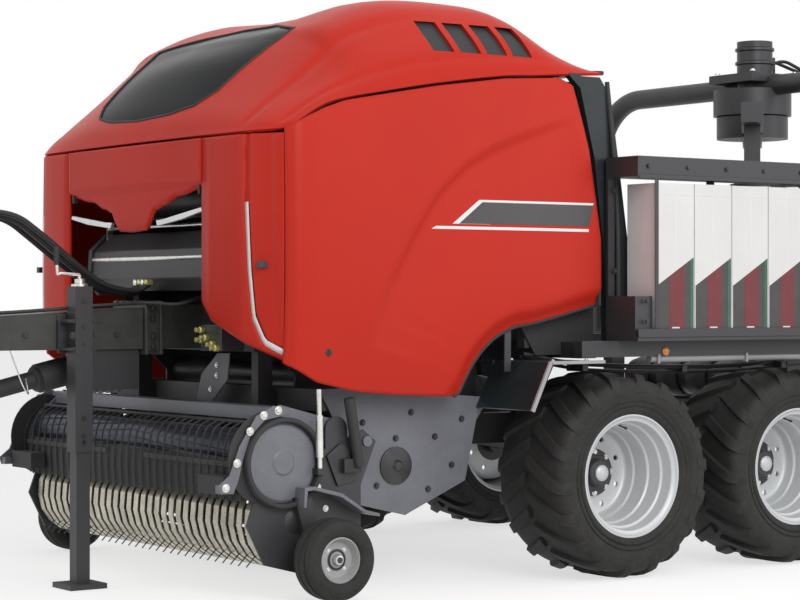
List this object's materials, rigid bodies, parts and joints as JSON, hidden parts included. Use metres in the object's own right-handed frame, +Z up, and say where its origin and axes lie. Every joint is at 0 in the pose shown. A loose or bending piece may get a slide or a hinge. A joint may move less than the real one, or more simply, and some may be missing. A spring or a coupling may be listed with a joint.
{
  "type": "round baler with bale wrapper",
  "caption": "Trailed round baler with red hood and side doors, pickup with gauge wheels, tandem wheels, film racks and a rear bale wrapper under a tube arch.",
  "frame": {"origin": "on the ground, under the middle of the machine's length and width", "axes": "+X forward to the drawbar eye, +Y to the left, +Z up"},
  "size_m": [6.985, 2.96, 2.89],
  "materials": {
    "carton": "printed carton board",
    "film": "stretch film on a roll",
    "frame_black": "satin black paint",
    "grey_plate": "satin grey paint",
    "guard_plastic": "black guard",
    "lamp_red": "lamp lens",
    "red_panel": "gloss red paint",
    "rim_silver": "silver paint",
    "slate_paint": "satin slate paint",
    "steel_dark": "dark worn paint",
    "tyre": "moulded rubber",
    "visor": "gloss black",
    "zinc_steel": "worn zinc"
  },
  "bodies": {
    "root": {"bogies": "frame_black", "chamber_rolls": "steel_dark", "chamber_wall_left": "frame_black", "chamber_wall_right": "frame_black", "corner_panels": "red_panel", "drawbar": "frame_black", "drive_shaft": "guard_plastic", "film_cartons_left": "carton", "film_cartons_right": "carton", "film_rack_left": "frame_black", "film_rack_right": "frame_black", "front_frame": "frame_black", "front_hood": "red_panel", "gearbox": "frame_black", "hood_visor": "visor", "jack_tube": "frame_black", "lamp_bar": "frame_black", "main_frame": "frame_black", "outer_rail_left": "frame_black", "outer_rail_right": "frame_black", "rear_lamps": "lamp_red", "rear_pillars": "slate_paint", "roof_hood": "red_panel", "side_plates": "grey_plate", "table_stands": "frame_black", "wheel_shields": "frame_black", "wrapper_portal": "frame_black", "wrapping_head": "frame_black"},
    "wheel_front_left": {"tyre_front_left": "tyre", "rim_front_left": "rim_silver"},
    "wheel_front_right": {"tyre_front_right": "tyre", "rim_front_right": "rim_silver"},
    "wheel_rear_left": {"tyre_rear_left": "tyre", "rim_rear_left": "rim_silver"},
    "wheel_rear_right": {"tyre_rear_right": "tyre", "rim_rear_right": "rim_silver"},
    "pickup": {"pickup_frame": "frame_black", "pickup_bands": "zinc_steel"},
    "pickup_reel": {"pickup_reel": "steel_dark"},
    "gauge_wheel_left": {"gauge_wheel_left": "tyre"},
    "gauge_wheel_right": {"gauge_wheel_right": "tyre"},
    "crop_arms": {"crop_roller_arms": "frame_black"},
    "crop_roller": {"crop_roller": "steel_dark"},
    "feed_rotor": {"feed_rotor": "steel_dark"},
    "jack_leg": {"jack_leg": "frame_black"},
    "door_left": {"door_left": "red_panel"},
    "door_right": {"door_right": "red_panel"},
    "tailgate": {"tailgate": "slate_paint"},
    "wrap_rotor": {"wrap_rotor": "frame_black", "film_rolls": "film"},
    "wrap_table": {"wrap_table": "frame_black"},
    "table_roller_front": {"table_roller_front": "steel_dark"},
    "table_roller_rear": {"table_roller_rear": "steel_dark"}
  },
  "joints": [
    {"name": "wheel_front_left_spin", "type": "hinge", "parent": "root", "child": "wheel_front_left", "pos_m": [-0.3425, 1.23, 0.5], "axis": [0, 1, 0], "continuous": true},
    {"name": "wheel_front_right_spin", "type": "hinge", "parent": "root", "child": "wheel_front_right", "pos_m": [-0.3425, -1.23, 0.5], "axis": [0, 1, 0], "continuous": true},
    {"name": "wheel_rear_left_spin", "type": "hinge", "parent": "root", "child": "wheel_rear_left", "pos_m": [-1.4625, 1.23, 0.5], "axis": [0, 1, 0], "continuous": true},
    {"name": "wheel_rear_right_spin", "type": "hinge", "parent": "root", "child": "wheel_rear_right", "pos_m": [-1.4625, -1.23, 0.5], "axis": [0, 1, 0], "continuous": true},
    {"name": "pickup_lift", "type": "hinge", "parent": "root", "child": "pickup", "pos_m": [0.9875, 0, 0.7], "axis": [0, -1, 0], "range_deg": [0, 18]},
    {"name": "pickup_reel_spin", "type": "hinge", "parent": "pickup", "child": "pickup_reel", "pos_m": [1.3775, 0, 0.35], "axis": [0, 1, 0], "continuous": true},
    {"name": "gauge_wheel_left_spin", "type": "hinge", "parent": "pickup", "child": "gauge_wheel_left", "pos_m": [1.2875, 1.29, 0.188], "axis": [0, 1, 0], "continuous": true},
    {"name": "gauge_wheel_right_spin", "type": "hinge", "parent": "pickup", "child": "gauge_wheel_right", "pos_m": [1.2875, -1.29, 0.188], "axis": [0, 1, 0], "continuous": true},
    {"name": "crop_arms_lift", "type": "hinge", "parent": "pickup", "child": "crop_arms", "pos_m": [1.1575, 0, 0.76], "axis": [0, -1, 0], "range_deg": [0, 10]},
    {"name": "crop_roller_spin", "type": "hinge", "parent": "crop_arms", "child": "crop_roller", "pos_m": [1.5575, 0, 0.69], "axis": [0, 1, 0], "continuous": true},
    {"name": "feed_rotor_spin", "type": "hinge", "parent": "root", "child": "feed_rotor", "pos_m": [0.7475, 0, 0.57], "axis": [0, 1, 0], "continuous": true},
    {"name": "jack_slide", "type": "slide", "parent": "root", "child": "jack_leg", "axis": [0, 0, 1], "range_m": [0, 0.36]},
    {"name": "door_left_lift", "type": "hinge", "parent": "root", "child": "door_left", "pos_m": [-0.0785, 1.195, 2.48], "axis": [0.9856, 0, -0.1692], "range_deg": [0, 75]},
    {"name": "door_right_lift", "type": "hinge", "parent": "root", "child": "door_right", "pos_m": [-0.0785, -1.195, 2.48], "axis": [-0.9856, 0, 0.1692], "range_deg": [0, 75]},
    {"name": "tailgate_lift", "type": "hinge", "parent": "root", "child": "tailgate", "pos_m": [-0.2825, 0, 2.39], "axis": [0, 1, 0], "range_deg": [0, 50]},
    {"name": "wrap_rotor_spin", "type": "hinge", "parent": "root", "child": "wrap_rotor", "pos_m": [-2.5425, 0, 2.44], "axis": [0, 0, 1], "continuous": true},
    {"name": "wrap_table_tilt", "type": "hinge", "parent": "root", "child": "wrap_table", "pos_m": [-3.0625, 0, 0.78], "axis": [0, -1, 0], "range_deg": [0, 38]},
    {"name": "table_roller_front_spin", "type": "hinge", "parent": "wrap_table", "child": "table_roller_front", "pos_m": [-2.1925, 0, 0.9], "axis": [0, 1, 0], "continuous": true},
    {"name": "table_roller_rear_spin", "type": "hinge", "parent": "wrap_table", "child": "table_roller_rear", "pos_m": [-2.8925, 0, 0.9], "axis": [0, 1, 0], "continuous": true}
  ]
}
